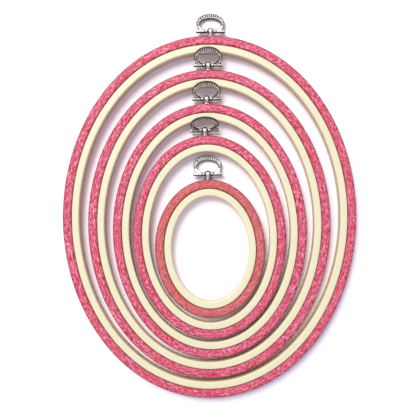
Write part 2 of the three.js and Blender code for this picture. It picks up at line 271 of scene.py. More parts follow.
def mixed(tree, share, one, two, way="MIX", kind="RGBA"):
    """one (1 - share) + two share, with one times two instead of two where the way is MULTIPLY.
    The kind is RGBA for colours and FLOAT for plain numbers."""
    sockets = {"Factor": share, "A": one, "B": two}
    node = add_node(tree, "ShaderNodeMix", sockets, data_type=kind, blend_type=way)
    return node.outputs["Result"]


def spread(tree, value, low, high):
    """Spreads 0 to 1 over low to high: low + value (high - low)."""
    sockets = {"Value": value, "To Min": low, "To Max": high}
    return add_node(tree, "ShaderNodeMapRange", sockets).outputs["Result"]


def bumped(tree, height, strength, distance):
    """Surface directions tilted as if the height stood out by the distance in metres."""
    sockets = {"Height": height, "Strength": strength, "Distance": distance}
    return add_node(tree, "ShaderNodeBump", sockets).outputs["Normal"]


print("each helper adds a step")

# %% [markdown]
# ### The band's soft vinyl
#
# The real band is a soft moulding with a wood grain pressed into it. The pressed lines are real
# relief in the mesh, and each point of the mesh keeps its own height in an attribute. The material
# reads that height, so the colour is deepest in the lines and palest where the grain stands up.
# The pale tops are partly a painted highlight, for the glints that the raised grain catches.
# Finer fibres than the mesh can hold come from noise. It is read at a place pushed across by the
# same lean as the relief, so the fine lines run with the coarse ones.

# %% Fine fibres
FIBRE_SHARPNESS = (0.38, 0.62)


def leaning_fibres(tree, lean, scale):
    """Fine fibres, 0 to 1: noise at the surface place pushed across by the lean in the mesh."""
    surface = add_node(tree, "ShaderNodeUVMap", uv_map="surface_uv").outputs["UV"]
    push = add_node(tree, "ShaderNodeCombineXYZ", {"Y": mesh_value(tree, lean)})
    sockets = {0: surface, 1: push.outputs["Vector"]}
    pushed = add_node(tree, "ShaderNodeVectorMath", sockets, operation="ADD").outputs["Vector"]
    drawn = add_node(tree, "ShaderNodeMapping", {"Vector": pushed, "Scale": scale})
    sockets = {"Vector": drawn.outputs["Vector"], "Scale": 1.0, "Detail": 3.0, "Roughness": 0.55}
    noise = add_node(tree, "ShaderNodeTexNoise", sockets).outputs["Fac"]
    low, high = FIBRE_SHARPNESS
    sockets = {"Value": noise, "From Min": low, "From Max": high}
    return add_node(tree, "ShaderNodeMapRange", sockets).outputs["Result"]


print("fibres run from black to white between", *FIBRE_SHARPNESS)

# %% Vinyl for the bands
SIDE_SHADE_TINT = (0.46, 0.53, 0.47, 1)
FIBRE_SCALE = (330.0, 1500.0, 1.0)
COUNTER_FIBRE_SCALE = (500.0, 1350.0, 1.0)
COUNTER_FIBRE_SHARE = 0.45
FINE_SHARE = 0.56


def band_vinyl(name, deep, middle, pale, gloss):
    """Soft vinyl: the pressed grain and the fine fibres choose a colour between deep and pale, the
    pale partly a painted highlight; a slow drift warms or cools it, and the steep sides get painted
    shade."""
    material, tree, shader = start_material(name)
    grain = mesh_value(tree, "grain")
    fibres = leaning_fibres(tree, "lean", FIBRE_SCALE)
    counter_fibres = leaning_fibres(tree, "counter_lean", COUNTER_FIBRE_SCALE)
    fine = mixed(tree, COUNTER_FIBRE_SHARE, fibres, counter_fibres, kind="FLOAT")
    height = mixed(tree, FINE_SHARE, grain, fine, kind="FLOAT")
    # The pale end is partly a painted highlight on the raised grain.
    colour = colour_ramp(tree, height, [(0.2, deep), (0.5, middle), (0.8, pale)])

    drift = object_noise(tree, 38.0, 2.0)
    warm_to_cool = colour_ramp(tree, drift, [(0.35, (1.0, 0.95, 0.93)), (0.65, (1.0, 1.05, 1.1))])
    colour = mixed(tree, 1.0, colour, warm_to_cool, "MULTIPLY")
    # Painted shade: the rounded sides of the band are tinted darker than its top.
    colour = mixed(tree, mesh_value(tree, "side"), colour, SIDE_SHADE_TINT, "MULTIPLY")
    fill_sockets(tree, shader, {
        "Base Color": colour,
        "Roughness": spread(tree, grain, gloss + 0.14, gloss - 0.06),
        "Normal": bumped(tree, fine, 0.8, 0.1 * MM),
        "IOR": 1.5,
        "Specular IOR Level": 0.35,
    })
    return material


vinyl_pink = band_vinyl(
    "vinyl_pink", srgb(176, 42, 66), srgb(223, 82, 106), srgb(255, 168, 190), 0.44)
vinyl_coral = band_vinyl(
    "vinyl_coral", srgb(180, 68, 72), srgb(213, 98, 98), srgb(240, 148, 144), 0.45)
print("made", vinyl_pink.name, "and", vinyl_coral.name)

# %% [markdown]
# ### The ring's cream plastic
#
# The ring is plain moulded plastic: smooth, warm white, with the faint mottling of the pigment and
# the fine marks of handling that break up a reflection. Light sinks in a little, which softens the
# edges. The inner wall is painted browner as painted shade, more so towards the foot, and a thin
# line of painted shade runs along the seam at the band. Each point knows how much of it it has.

# %% Plastic for the rings
WALL_SHADE_TINT = (0.94, 0.7, 0.54, 1)
MOTTLE = (0.975, 0.965, 0.94)


def ring_plastic(name, colour):
    """Moulded plastic: a slow mottle in the pigment, painted shade where the mesh asks for it, fine
    scuffs in the gloss, and a little light that passes under the surface."""
    material, tree, shader = start_material(name)
    shade = tuple(v * f for v, f in zip(colour, MOTTLE))
    pigment = colour_ramp(tree, object_noise(tree, 160.0, 4.0), [(0.3, shade), (0.7, colour)])
    # Painted shade: browner on the inner wall and along the band.
    browned = mesh_value(tree, "browned")
    scuffs = object_noise(tree, 900.0, 5.0, 0.7)
    fill_sockets(tree, shader, {
        "Base Color": mixed(tree, browned, pigment, WALL_SHADE_TINT, "MULTIPLY"),
        "Roughness": spread(tree, scuffs, 0.3, 0.52),
        "Normal": bumped(tree, scuffs, 0.12, 0.03 * MM),
        "IOR": 1.5,
        "Subsurface Weight": 0.25,
        "Subsurface Radius": (1.0, 0.95, 0.85),
        "Subsurface Scale": 3 * MM,
    })
    return material


cream_plastic = ring_plastic("cream_plastic", srgb(250, 241, 204))
print("made", cream_plastic.name)

# %% [markdown]
# ### The hanger's cast metal
#
# The hangers are small zinc castings with a nickel-like finish. The raised faces are polished by
# handling, and the grooves keep a dark tarnish. The same black is painted on the flanks, the
# rounded edges and the half of the bar that faces the band, as painted shade. Each point of the
# mesh knows how dark it is. The hidden washers get the same metal without tarnish or painted shade.

# %% Metal for the hangers
TARNISH_AND_SHADE_COLOUR = (*srgb(26, 24, 25), 1)


def hanger_metal(name, tarnished_and_shaded):
    """Cast metal: a cloudy polish, and, if asked, black where the mesh marks tarnish and painted
    shade.
    """
    material, tree, shader = start_material(name)
    cloud = object_noise(tree, 420.0, 5.0, 0.65)
    polish = [(0.3, srgb(196, 191, 182)), (0.7, srgb(248, 243, 235))]
    colour = colour_ramp(tree, cloud, polish)
    if tarnished_and_shaded:
        # Black for the tarnish in the hollows and for painted shade.
        colour = mixed(tree, mesh_value(tree, "sunk"), colour, TARNISH_AND_SHADE_COLOUR)
    fill_sockets(tree, shader, {
        "Base Color": colour,
        "Roughness": spread(tree, cloud, 0.26, 0.44),
        "Normal": bumped(tree, cloud, 0.2, 0.05 * MM),
        "Metallic": 0.5,
    })
    return material


cast_metal = hanger_metal("cast_metal", tarnished_and_shaded=True)
plain_metal = hanger_metal("plain_metal", tarnished_and_shaded=False)
print("made", cast_metal.name, "and", plain_metal.name)

# %% [markdown]
# ## The oval
#
# An ellipse is (A cos t, B sin t), but even steps of t are not even steps along the curve. The
# grain has to keep one scale all the way round, so the length is summed over fine steps first, and
# t is then read off where that length passes each even share. The start is at the foot, far from
# the hanger.

# %% Even steps round an oval
FINE_STEPS = 7200


def oval_path(hoop, step):
    """Points about one step apart along a hoop's outside oval, the unit vectors into the oval,
    the distance run so far, and the whole length.

    The inward vector is minus the gradient of x²/A² + y²/B²."""
    half = np.array([hoop["half_width"], hoop["half_length"]])
    fine = np.linspace(-np.pi / 2, 1.5 * np.pi, FINE_STEPS + 1)
    x, y = half[0] * np.cos(fine), half[1] * np.sin(fine)
    run = np.concatenate([[0], np.cumsum(np.hypot(np.diff(x), np.diff(y)))])
    count = int(round(run[-1] / step))
    along = np.arange(count) * run[-1] / count
    t = np.interp(along, run, fine)
    points = half * np.stack([np.cos(t), np.sin(t)], -1)
    gradient = points / half**2
    inward = -gradient / np.linalg.norm(gradient, axis=1, keepdims=True)
    return points, inward, along, run[-1]


for number, hoop in hoops.items():
    print("hoop", number, "is", round(1000 * oval_path(hoop, MM)[-1], 1), "mm round")

# %% A section carried round an oval
def sweep_round(path, inward, inset, height):
    """Carries a section round the oval: point (i, j) = path i + inset (i, j) inward, at height
    (i, j). inset and height may be one section (columns) or one for each step (rows, columns)."""
    rows = len(path)
    inset = np.broadcast_to(inset, (rows, inset.shape[-1]))
    height = np.broadcast_to(height, inset.shape)
    flat = path[:, None, :] + inset[..., None] * inward[:, None, :]
    return np.concatenate([flat, height[..., None]], -1)


def oval_grid(swept, hoop, along, run, values):
    """A grid for build_piece: the swept points turned and moved to the hoop's place in the set,
    the distances along the oval and round the section as uv, and the surface values."""
    return {
        "points": turn_points(swept, hoop["turn"]) + hoop["middle"],
        "close_rows": True,
        "uv": np.stack(np.broadcast_arrays(along[:, None], run[None]), -1),
        "values": values,
    }


print("turns", [round(np.degrees(hoop["turn"]), 2) for hoop in hoops.values()], "degrees")

# %% [markdown]
# ## The pressed grain
#
# Pressed wood grain is a mass of long fibres that lie along the piece, lean to one side and the
# other, and cross. A painted or scanned picture could give it, but numbers made on the spot have
# no seam and any size. Random numbers that are blurred far along and little across give straight
# fibres. Reading them at a place that is first pushed sideways by a slow random field makes the
# fibres lean and wave. Two such sheets, pushed differently, cross and fork. The blur is done with
# a Fourier transform, which also joins the sheet at both ends of the band.

# %% Smooth random fields
def blurred_noise(seed, shape, blur):
    """Random numbers blurred by a bell curve of the given widths in cells, joined end to end.
    The mean is 0 and the spread is 1."""
    noise = np.random.default_rng(seed).standard_normal(shape)
    rows, columns = np.fft.fftfreq(shape[0])[:, None], np.fft.fftfreq(shape[1])[None]
    bell = np.exp(-2 * np.pi**2 * ((rows * blur[0]) ** 2 + (columns * blur[1]) ** 2))
    field = np.fft.ifft2(np.fft.fft2(noise) * bell).real
    return (field - field.mean()) / field.std()


GRAIN_CELL = 0.12 * MM
GRAIN_ACROSS = 28 * MM


def read_sheet(sheet, along, across):
    """Reads a sheet between its cells: the four nearest values, weighed by how near they are."""
    i, j = along / GRAIN_CELL, across / GRAIN_CELL
    i0, j0 = np.floor(i).astype(int), np.floor(j).astype(int)
    fi, fj = i - i0, j - j0
    rows, columns = sheet.shape

    def value(a, b):
        return sheet[(i0 + a) % rows, (j0 + b) % columns]

    near = value(0, 0) * (1 - fi) * (1 - fj) + value(1, 0) * fi * (1 - fj)
    return near + value(0, 1) * (1 - fi) * fj + value(1, 1) * fi * fj


print("a sheet is", int(round(GRAIN_ACROSS / GRAIN_CELL)), "cells across")

# %% The grain
SWAY = 1.5 * MM
COUNTER_SWAY = 1.2 * MM
LONG_SHARE, SHORT_SHARE = 0.55, 0.5
PATCH_MEAN, PATCH_SPREAD, PATCH_LIMITS = 0.7, 0.25, (0.3, 1.2)
# Widths of the blurs in millimetres, along the band and across it.
SWAY_BLUR, COUNTER_SWAY_BLUR = (5, 4), (3.5, 2.5)
LONG_FIBRE_BLUR, SHORT_FIBRE_BLUR, PATCH_BLUR = (1.1, 0.16), (0.55, 0.14), (4, 2)


def grain_sheet(seed, length):
    """Height of the grain on a flat sheet as long as the band, near 0 in the pits and near 1 on
    the tops, and the two fields that push its fibres across.

    Two sheets of fibres are read at across + sway, and their sum s becomes 0.5 + 0.5 tanh(s).
    Slow patches make the grain strong in one place and faint in another."""
    shape = (int(round(length / GRAIN_CELL)), int(round(GRAIN_ACROSS / GRAIN_CELL)))

    def field(number, blur):
        return blurred_noise(seed + number, shape, [width * MM / GRAIN_CELL for width in blur])

    along = np.arange(shape[0])[:, None] * GRAIN_CELL
    across = np.arange(shape[1])[None] * GRAIN_CELL
    sway = SWAY * field(0, SWAY_BLUR)
    counter_sway = COUNTER_SWAY * field(1, COUNTER_SWAY_BLUR)
    long_fibres = field(2, LONG_FIBRE_BLUR)
    short_fibres = field(3, SHORT_FIBRE_BLUR)
    strength = np.clip(PATCH_MEAN + PATCH_SPREAD * field(4, PATCH_BLUR), *PATCH_LIMITS)
    total = LONG_SHARE * read_sheet(long_fibres, along, across + sway)
    total += SHORT_SHARE * read_sheet(short_fibres, along, across - counter_sway)
    return 0.5 + 0.5 * np.tanh(total * strength), sway, -counter_sway


print("fibres sway by about", round(SWAY / MM, 1), "and", round(COUNTER_SWAY / MM, 1), "mm")

# %% [markdown]
# ## The outer band
#
# The band is one long soft moulding. A curve with a bevel could make its shape, but not a relief
# that differs at every point, so the section is swept round the oval as an array. It is flat
# outside and inside, softly crowned above, and stepped below where it sits over the ring's lip.
# Each straight or curved stretch gets as many points as it shows: few where it is hidden. The
# crown is half a superellipse, |x/a|^n + |z/b|^n = 1, which is flatter on top than an ellipse. Its
# points are spread evenly along it, so that the grain is as fine on top as at the edges.

# %% The section of the band
CROWN_HEIGHT = 1.7 * MM
CROWN_POWER = 3.6
CROWN_POINTS = 34
OUTER_SIDE_POINTS = 12


def stretch(start, end, count):
    """Points on a straight stretch of a section, without the last one."""
    share = np.linspace(0, 1, count, endpoint=False)[:, None]
    return np.array(start) * (1 - share) + np.array(end) * share


def section_run(section):
    """Distance along a section up to each of its points."""
    gaps = np.linalg.norm(np.diff(section, axis=0), axis=1)
    return np.concatenate([[0], np.cumsum(gaps)])


def band_section():
    """Closed section of the band as rows (inset, height), foot first, up the inside and over."""
    step = BAND_WIDTH - LIP_REACH
    step_height = LIP_HEIGHT + SEAT_GAP
    shoulder = BAND_HEIGHT - CROWN_HEIGHT
    half = BAND_WIDTH / 2
    angle = np.linspace(0, np.pi, 4001)
    power = 2 / CROWN_POWER
    fine = np.stack([
        half + half * np.sign(np.cos(angle)) * np.abs(np.cos(angle)) ** power,
        shoulder + CROWN_HEIGHT * np.abs(np.sin(angle)) ** power,
    ], -1)
    run = section_run(fine)
    even = np.linspace(0, run[-1], CROWN_POINTS, endpoint=False)
    crown = np.stack([np.interp(even, run, fine[:, k]) for k in (0, 1)], -1)
    return np.concatenate([
        stretch((BAND_FOOT_EDGE, 0), (step, 0), 2),
        stretch((step, 0), (step, step_height), 2),
        stretch((step, step_height), (BAND_WIDTH, step_height), 2),
        stretch((BAND_WIDTH, step_height), (BAND_WIDTH, shoulder), 2),
        crown,
        stretch((0, shoulder), (0, BAND_FOOT_EDGE), OUTER_SIDE_POINTS),
        stretch((0, BAND_FOOT_EDGE), (BAND_FOOT_EDGE, 0), 2),
    ])


print("the band's section has", len(band_section()), "points")

# %% Directions out of a section, and soft steps
def section_outward(section):
    """Unit vectors out of a closed section: from the last point to the next one, turned right."""
    ahead = np.roll(section, -1, 0) - np.roll(section, 1, 0)
    normal = np.stack([ahead[:, 1], -ahead[:, 0]], -1)
    return normal / np.linalg.norm(normal, axis=1, keepdims=True)


def smooth_step(value, low, high):
    """0 below low, 1 above high, and an S-curve 3t² - 2t³ between them."""
    t = np.clip((value - low) / (high - low), 0, 1)
    return t * t * (3 - 2 * t)


print("a quarter of the way up, a soft step is", round(float(smooth_step(0.25, 0, 1)), 3))

# %% [markdown]
# The grain fades out towards the lip, where the mould parts and nothing shows. Each point is
# moved along its own outward direction by the height of the grain, so the silhouette is grained
# too. The rounded sides of the band are painted darker than its top, as painted shade, the outer
# side more than the inner one.

# %% Sweep the bands
BAND_STEP = 0.45 * MM
GRAIN_DEPTH = 0.16 * MM
GRAIN_FADE = 1.5 * MM
SIDE_SHADE_START = 0.1 * MM
SIDE_SHADE = 1.5 * MM
INNER_SIDE_SHARE = 0.7


def make_band(number, hoop):
    """One band: the section swept round, and every point moved out or in by the grain's height."""
    path, inward, along, length = oval_path(hoop, BAND_STEP)
    section = band_section()
    inset, height = section[:, 0], section[:, 1]
    outward = section_outward(section)
    run = section_run(section)
    grain, lean, counter_lean = [
        read_sheet(sheet, along[:, None], run[None]) for sheet in grain_sheet(100 * number, length)]
    shown = np.clip((height - LIP_HEIGHT) / GRAIN_FADE, 0, 1)
    lift = (grain - 0.5) * GRAIN_DEPTH * shown
    swept = sweep_round(path, inward, inset + lift * outward[:, 0], height + lift * outward[:, 1])
    # Painted shade on the rounded sides: full on the outer side, a share of it on the inner side.
    outer_side_shade = 1 - smooth_step(inset, SIDE_SHADE_START, SIDE_SHADE)
    inner_side_shade = 1 - smooth_step(BAND_WIDTH - inset, SIDE_SHADE_START, SIDE_SHADE)
    side = np.broadcast_to(outer_side_shade + INNER_SIDE_SHARE * inner_side_shade, grain.shape)
    values = {"grain": grain, "lean": lean, "counter_lean": counter_lean, "side": side}
    coral = number == SMALLEST
    return build_piece(
        f"hoop{number}_band",
        [oval_grid(swept, hoop, along, run, values)],
        f"hoop{number}_band",
        f"hoop{number}_outer_band",
        vinyl_coral if coral else vinyl_pink,
    )


for number, hoop in hoops.items():
    band = make_band(number, hoop)
    print(band.name, triangle_count(band), "triangles")

# %% [markdown]
# ## The inner ring
#
# The ring is a hard moulding, made like the band but without relief. Its wall leans in by a few
# tenths of a millimetre, the upper inner edge is well rounded where the cloth is drawn over it,
# and a lip runs along the back of its foot. Rounded corners are quarter circles with a few points
# each, so that smooth shading shows a soft edge and flat faces.

# %% The section of the ring
RING_EDGE = 0.25 * MM
CLOTH_EDGE = 1.0 * MM
WALL_LEAN = 0.4 * MM


def quarter(centre, radius, start, count=5):
    """Points on a quarter circle that starts at an angle in degrees and turns left."""
    angle = np.radians(np.linspace(start, start + 90, count))
    return np.array(centre) + radius * np.stack([np.cos(angle), np.sin(angle)], -1)


def ring_section():
    """Closed section of the ring as rows (inset, height), left turning from the lip's foot."""
    edge, soft = RING_EDGE, CLOTH_EDGE
    lip = RING_BACK - LIP_REACH
    top = WALL + WALL_LEAN
    return np.concatenate([
        quarter((lip + edge, edge), edge, 180),
        quarter((WALL - edge, edge), edge, 270),
        stretch((WALL, 2 * edge), (top, RING_HEIGHT - soft), 6),
        quarter((top - soft, RING_HEIGHT - soft), soft, 0, 7),
        stretch((top - soft - edge, RING_HEIGHT), (RING_BACK + 2 * edge, RING_HEIGHT), 4),
        quarter((RING_BACK + edge, RING_HEIGHT - edge), edge, 90),
        [[RING_BACK, RING_HEIGHT - 2 * edge], [RING_BACK, LIP_HEIGHT + edge]],
        [[RING_BACK, LIP_HEIGHT], [RING_BACK - edge, LIP_HEIGHT]],
        quarter((lip + edge, LIP_HEIGHT - edge), edge, 90),
    ])


print("the ring's section has", len(ring_section()), "points")

# %% Sweep the rings
RING_STEP = 0.9 * MM
FOOT_SHADE, SHADE_LOSS = 1.3, 1.4
BAND_SEAM_SHADE = 0.6


def make_ring(number, hoop):
    """One ring: the section swept round the same oval as its band. The wall gets painted shade of
    1.3 - 1.4 z / height, kept within 0 to 1, and the corner at the band a line of painted shade
    of one share."""
    path, inward, along, _ = oval_path(hoop, RING_STEP)
    section = ring_section()
    inset, height = section[:, 0], section[:, 1]
    swept = sweep_round(path, inward, inset, height)
    on_wall = inset > WALL - 0.05 * MM
    at_band = (inset < RING_BACK + 0.2 * MM) & (height > RING_HEIGHT - 0.3 * MM)
    # Painted shade: the inner wall darker and browner towards its foot, and a thin line at the
    # band.
    towards_foot = np.clip(FOOT_SHADE - SHADE_LOSS * height / RING_HEIGHT, 0, 1)
    browned = on_wall * towards_foot + BAND_SEAM_SHADE * at_band
    values = {"browned": np.broadcast_to(browned, swept.shape[:2])}
    return build_piece(
        f"hoop{number}_ring",
        [oval_grid(swept, hoop, along, section_run(section), values)],
        f"hoop{number}_ring",
        f"hoop{number}_inner_ring",
        cream_plastic,
    )


for number, hoop in hoops.items():
    ring = make_ring(number, hoop)
    print(ring.name, triangle_count(ring), "triangles")

# %% [markdown]
# ## The hanger's post
#
# The post is a turned rivet with a barrel across its outer end, the eye in which the bail swings.
# A Screw modifier could turn it, but a few lines of arrays give the same with sizes that can be
# read. A turned piece is a profile carried round an axis. The barrel is the same thing round the
# other axis, with a closed profile, so it keeps its hole.

# %% Turned shapes
ROUND_STEPS = 48


def turned(profile, axis):
    """Carries a profile of rows (radius, place) round X or Y: radius cos a, radius sin a, place."""
    profile = np.asarray(profile, float)
    angle = np.linspace(0, 2 * np.pi, ROUND_STEPS, endpoint=False)[None]
    radius, place = profile[:, :1], profile[:, 1:]
    one, two = radius * np.cos(angle), radius * np.sin(angle)
    along = np.broadcast_to(place, one.shape)
    if axis == "x":
        return np.stack([along, one, two], -1)
    return np.stack([two, along, one], -1)


def softened(profile, radius, steps=5):
    """Rounds every inner corner of an open profile with (1 - t)² start + 2t (1 - t) corner +
    t² end. The curve starts and ends at the radius from the corner, or 0.45 of a shorter side."""
    profile = np.asarray(profile, float)
    rounded = [profile[:1]]
    for before, corner, after in zip(profile[:-2], profile[1:-1], profile[2:]):
        one, two = before - corner, after - corner
        reach_one = min(radius, 0.45 * np.linalg.norm(one))
        reach_two = min(radius, 0.45 * np.linalg.norm(two))
        start = corner + one / np.linalg.norm(one) * reach_one
        end = corner + two / np.linalg.norm(two) * reach_two
        t = np.linspace(0, 1, steps)[:, None]
        rounded.append((1 - t) ** 2 * start + 2 * t * (1 - t) * corner + t**2 * end)
    rounded.append(profile[-1:])
    return np.concatenate(rounded)


def place_on_hinge(points, hoop, tilt=0.0):
    """Tilts points about the bar's axis, y cos - z sin and y sin + z cos, and moves them to the
    hinge."""
    x, y, z = points[..., 0], points[..., 1], points[..., 2]
    y, z = y * np.cos(tilt) - z * np.sin(tilt), y * np.sin(tilt) + z * np.cos(tilt)
    return turn_points(np.stack([x, y, z], -1), hoop["turn"]) + hoop["hinge"]


print("a turned piece has", ROUND_STEPS, "sides")

# %% Sizes of the post
POST_REACH = 4.6 * MM
FLANGE_RADIUS = 3.1 * MM
FLANGE_THICKNESS = 0.6 * MM
STEM_RADIUS = 1.8 * MM
STEM_FLARE_LENGTH = 2.4 * MM
STEM_END = -1.5 * MM
EYE_RADIUS = 2.5 * MM
EYE_END_RADIUS = 1.9 * MM
EYE_CROWN = 0.7 * MM
EYE_BORE_RADIUS = 1.25 * MM
EYE_WIDTH = 3.9 * MM
SHANK_RADIUS = 1.2 * MM
RIVET_HEAD_RADIUS = 1.9 * MM
RIVET_HEAD_TOP_RADIUS = 1.3 * MM
RIVET_HEAD_THICKNESS = 0.6 * MM
WASHER_THICKNESS = 0.7 * MM
RECESS_DEPTH = WASHER_THICKNESS + RIVET_HEAD_THICKNESS + 3 * SEAT_GAP
print("the post stands", round(POST_REACH / MM, 1), "mm out of the band")

# %% Make the posts
def make_post(number, hoop):
    """The rivet with its flange and flared stem, and the barrel of the eye. The flanks, the root
    of the stem and the ends of the barrel are darkened as painted shade."""
    face = -POST_REACH
    seat = face + SEAT_GAP
    rivet_seat = face - BAND_WIDTH + RECESS_DEPTH - 2 * SEAT_GAP - WASHER_THICKNESS
    head_end = rivet_seat - RIVET_HEAD_THICKNESS
    flange_top = seat + FLANGE_THICKNESS
    rivet = softened([
        (HAIR, head_end),
        (RIVET_HEAD_TOP_RADIUS, head_end),
        (RIVET_HEAD_RADIUS, rivet_seat),
        (SHANK_RADIUS, rivet_seat),
        (SHANK_RADIUS, seat),
        (FLANGE_RADIUS, seat),
        (FLANGE_RADIUS, flange_top),
        (STEM_RADIUS, flange_top + STEM_FLARE_LENGTH),
        (STEM_RADIUS, STEM_END),
        (HAIR, STEM_END),
    ], 0.22 * MM)
    half = EYE_WIDTH / 2
    barrel = softened([
        (EYE_BORE_RADIUS, 0),
        (EYE_BORE_RADIUS, -half),
        (EYE_END_RADIUS, -half),
        (EYE_RADIUS, EYE_CROWN - half),
        (EYE_RADIUS, half - EYE_CROWN),
        (EYE_END_RADIUS, half),
        (EYE_BORE_RADIUS, half),
        (EYE_BORE_RADIUS, HAIR),
    ], 0.6 * MM)
    stem, eye = turned(rivet, "y"), turned(barrel, "x")
    stem_radius = np.maximum(np.hypot(stem[..., 0], stem[..., 2]), HAIR / 10)
    # Painted shade: the flanks of stem and eye, the root of the stem and the ends of the barrel.
    stem_side = smooth_step(np.abs(stem[..., 0]) / stem_radius, 0.35, 0.7)
    stem_root = np.exp(-((stem[..., 1] - flange_top - 0.4 * MM) / (0.5 * MM)) ** 2)
    eye_side = smooth_step(np.abs(eye[..., 1]) / np.hypot(eye[..., 1], eye[..., 2]), 0.4, 0.7)
    eye_end = smooth_step(np.abs(eye[..., 0]), half - 1.0 * MM, half - 0.5 * MM)
    stem_shade = 0.95 * np.maximum(stem_side, stem_root)
    eye_shade = 0.97 * np.maximum(eye_side, eye_end)
    stem, eye = place_on_hinge(stem, hoop), place_on_hinge(eye, hoop)
    grids = [
        {"points": stem, "values": {"sunk": stem_shade}},
        {"points": eye, "values": {"sunk": eye_shade}, "close_rows": True},
    ]
    return build_piece(
        f"hoop{number}_post", grids, f"hoop{number}_band",
        f"hoop{number}_hanger_post", cast_metal,
    )


for number, hoop in hoops.items():
    post = make_post(number, hoop)
print("posts of", triangle_count(post), "triangles")

# %% [markdown]
# ## The bail
#
# The bail is a flat arch with raised rims and a sunk channel, standing on a turned bar. The arch is
# a strip between two curves, an outer and an inner one. Walk both curves in step: the section at
# each step reaches from the inner point to the outer one, and goes once round the metal. That
# keeps the relief in line with the rims, which a flat plate cut to shape would not.

# %% The two curves of the arch
BAIL_REACH = 15.2 * MM
BAIL_HALF_WIDTH = 10.8 * MM
BAIL_SHOULDER = 6.2 * MM
BAIL_TOP_WIDTH = 4.3 * MM
BAIL_SIDE_WIDTH = 2.75 * MM
BAIL_FOOT_OUTER = 9.1 * MM
BAIL_FOOT_INNER = 4.5 * MM
BAIL_CORNER_HEIGHT = 4.0 * MM
BAIL_FOOT_HEIGHT = 1.2 * MM
FOOT_END = 0.2 * MM
ARCH_STEPS = 361
LEG_SHARE = 0.2
CORNER_BLUR = 9


def half_arch(foot_points, foot_shares, radius_x, radius_y):
    """The right half of one curve: straight legs through the foot points, then a quarter ellipse
    about the shoulder. The walk is 0 at the foot, LEG_SHARE at the shoulder and 0.5 at the top."""
    walk = np.linspace(0, 0.5, ARCH_STEPS // 2 + 1)
    foot = np.array(foot_points, float)
    legs = np.stack([np.interp(walk, foot_shares, foot[:, k]) for k in (0, 1)], -1)
    angle = np.clip((walk - LEG_SHARE) / (0.5 - LEG_SHARE), 0, 1) * np.pi / 2
    over = np.stack([radius_x * np.cos(angle), BAIL_SHOULDER + radius_y * np.sin(angle)], -1)
    return np.where((walk < LEG_SHARE)[:, None], legs, over)


def whole_arch(right):
    """Mirrors the right half to the left, and rounds the corners by averaging neighbours with
    the weights of a cosine bell."""
    left = right[-2::-1] * np.array([-1, 1])
    curve = np.concatenate([right, left])
    padded = np.pad(curve, ((CORNER_BLUR, CORNER_BLUR), (0, 0)), "edge")
    weights = np.hanning(2 * CORNER_BLUR + 3)[1:-1]
    weights /= weights.sum()
    return np.stack([np.convolve(padded[:, k], weights, "valid") for k in (0, 1)], -1)


rise = BAIL_REACH - BAIL_SHOULDER
inner_half_width = BAIL_HALF_WIDTH - BAIL_SIDE_WIDTH
outer_curve = whole_arch(half_arch(
    [(BAIL_FOOT_OUTER, FOOT_END), (BAIL_FOOT_OUTER + 0.1 * MM, BAIL_FOOT_HEIGHT),
     (BAIL_HALF_WIDTH, BAIL_SHOULDER)],
    [0, 0.07, LEG_SHARE], BAIL_HALF_WIDTH, rise,
))
inner_curve = whole_arch(half_arch(
    [(BAIL_FOOT_INNER, FOOT_END), (BAIL_FOOT_INNER, BAIL_FOOT_HEIGHT),
     (inner_half_width, BAIL_CORNER_HEIGHT), (inner_half_width, BAIL_SHOULDER)],
    [0, 0.045, 0.135, LEG_SHARE], inner_half_width, rise - BAIL_TOP_WIDTH,
))
print("arch", len(outer_curve), "steps,", round(2000 * outer_curve[:, 0].max(), 1), "mm wide")

# %% [markdown]
# The relief is a height over the face. A shallow field lies between two rims, with a narrow groove
# along each rim. Small beads stand in a row over the top of the arch, as a plain milled ornament,
# and a round stud sits at each side. The casting was blackened and then polished, so the grooves
# and the gaps between the beads have stayed dark. The edges of the rims are painted dark as well,
# as painted shade.

# %% The relief of the arch
RIM_WIDTH = 0.7 * MM
INNER_RIM = 1.4 * MM
GROOVE_WIDTH = 0.2 * MM
GROOVE_PLACE = 0.12 * MM
FIELD_DEPTH = 0.18 * MM
GROOVE_DEPTH = 0.22 * MM
FIELD_END = (96, 104)        # in degrees from the top of the arch, as is the reach of the beads
STUD_PLACE = np.array([9.3 * MM, 6.4 * MM])
STUD_RADIUS = 0.85 * MM
STUD_HEIGHT = 0.3 * MM
BEADS = 11
BEAD_REACH = 70
BEAD_HEIGHT = 0.25 * MM


def bead_row(angle, from_inner, width):
    """1 on the beads and 0 between them, and where the row runs. The beads sit at even angles,
    each an oval with soft edges about the middle of the field."""
    wave = 0.5 + 0.5 * np.cos(2 * np.pi * angle / (2 * BEAD_REACH) * BEADS)
    from_bead = np.arccos(np.clip(2 * wave - 1, -1, 1)) / np.pi
    field_middle = (INNER_RIM + width - RIM_WIDTH) / 2
    across_field = (from_inner - field_middle) / (width - RIM_WIDTH - field_middle)
    bead = 1 - smooth_step(np.hypot(from_bead / 0.6, across_field), 0.85, 1.1)
    in_field = (from_inner > INNER_RIM) & (width - from_inner > RIM_WIDTH)
    row = (1 - smooth_step(np.abs(angle), BEAD_REACH - 3, BEAD_REACH)) * in_field
    return bead, row


